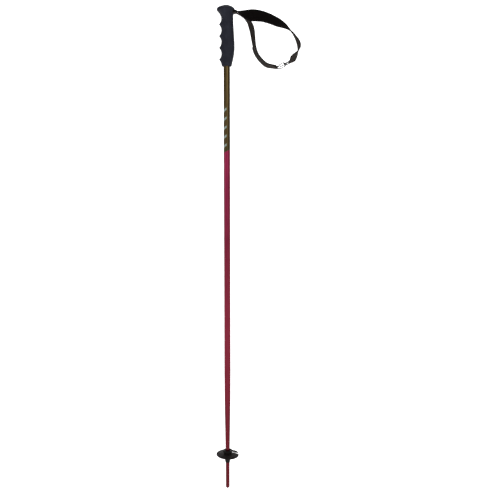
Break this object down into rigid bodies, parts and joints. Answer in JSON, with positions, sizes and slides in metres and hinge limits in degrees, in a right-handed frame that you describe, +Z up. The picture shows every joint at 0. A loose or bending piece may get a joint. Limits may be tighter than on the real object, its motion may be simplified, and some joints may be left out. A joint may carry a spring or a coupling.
{
  "type": "ski pole",
  "caption": "Alpine ski pole with a tapered tube, ridged rubber grip, adjustable webbing wrist strap and a notched push-on basket above a steel tip.",
  "frame": {"origin": "the point of the steel tip, on the shaft's axis", "axes": "+Z up the shaft towards the grip, +X the way the wrist strap leaves the grip, -X the finger-ridge side, +Y completes a right-handed frame"},
  "size_m": [0.2139, 0.059, 1.25],
  "materials": {
    "anodised_tube": "satin anodised, crimson below, olive brown above",
    "insert_plastic": "plain",
    "tip_steel": "turned",
    "basket_plastic": "moulded, slightly glossy",
    "core_plastic": "plain",
    "grip_rubber": "soft matte over-mould",
    "cap_plastic": "semi-gloss",
    "fastener_steel": "zinc plated",
    "strap_padding": "close dark weave",
    "strap_webbing": "ribbed webbing",
    "slider_plastic": "moulded"
  },
  "bodies": {
    "pole": {"shaft_tube": "anodised_tube", "tip_insert": "insert_plastic", "steel_tip": "tip_steel", "grip_core": "core_plastic", "grip_shell": "grip_rubber", "top_cap": "cap_plastic", "cap_screw": "fastener_steel", "anchor_pin": "fastener_steel", "strap_end_loop": "strap_webbing"},
    "basket_mount": {"basket_hub": "basket_plastic"},
    "basket": {"basket_disc": "basket_plastic"},
    "strap": {"strap_pad": "strap_padding", "slider_tab": "strap_webbing", "webbing_lower": "strap_webbing", "webbing_fold": "strap_webbing", "webbing_tail": "strap_webbing"},
    "slider": {"strap_slider": "slider_plastic"}
  },
  "joints": [
    {"name": "strap_swing", "type": "hinge", "parent": "pole", "child": "strap", "pos_m": [0.0215, 0, 1.23425], "axis": [0, 1, 0], "range_deg": [-40, 20]},
    {"name": "basket_pull_off", "type": "slide", "parent": "pole", "child": "basket_mount", "axis": [0, 0, -1], "range_m": [0, 0.11]},
    {"name": "basket_spin", "type": "hinge", "parent": "basket_mount", "child": "basket", "pos_m": [0, 0, 0.0965], "axis": [0, 0, 1], "continuous": true},
    {"name": "slider_rock", "type": "hinge", "parent": "strap", "child": "slider", "pos_m": [0.14976, 0, 1.10887], "axis": [-0.0532, 0.9925, 0.1096], "range_deg": [-3.5, 3.5]}
  ]
}
